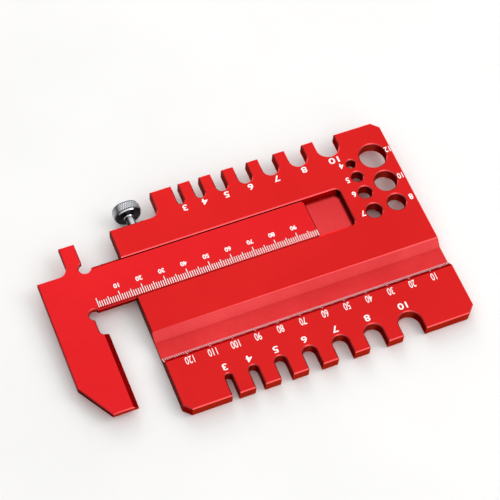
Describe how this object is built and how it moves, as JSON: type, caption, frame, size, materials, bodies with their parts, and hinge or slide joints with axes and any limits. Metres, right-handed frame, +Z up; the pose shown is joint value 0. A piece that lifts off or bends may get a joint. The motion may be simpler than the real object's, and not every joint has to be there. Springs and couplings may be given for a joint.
{
  "type": "mortise gauge",
  "caption": "Flat metal gauge for tenons and dowels, with notched edges, dowel holes, a ruled groove and a captive jaw slide locked by a thumb screw.",
  "frame": {"origin": "the middle of the plate's underside", "axes": "+X along the plate, away from the jaw; +Y across it, towards the lock screw; +Z up, out of the ruled face"},
  "size_m": [0.1667, 0.1016, 0.0124],
  "materials": {
    "body_plate": "satin red anodised",
    "slide_jaw": "satin red anodised",
    "lock_screw": "turned and knurled",
    "pressure_pad": "turned"
  },
  "bodies": {
    "plate": {"body_plate": "body_plate"},
    "slide": {"slide_jaw": "slide_jaw"},
    "pad": {"pressure_pad": "pressure_pad"},
    "screw": {"lock_screw": "lock_screw"}
  },
  "joints": [
    {"name": "slide_travel", "type": "slide", "parent": "plate", "child": "slide", "axis": [1, 0, 0], "range_m": [-0.0638, 0.0159]},
    {"name": "lock_travel", "type": "slide", "parent": "plate", "child": "pad", "axis": [0, 1, 0], "range_m": [0, 0.0014]},
    {"name": "lock_turn", "type": "hinge", "parent": "pad", "child": "screw", "pos_m": [-0.0545, 0.03885, 0.003], "axis": [0, 1, 0], "range_deg": [0, 720]}
  ],
  "couplings": [
    {"joint": "lock_turn", "follows": "lock_travel", "rad_per_m": 8975.9}
  ]
}
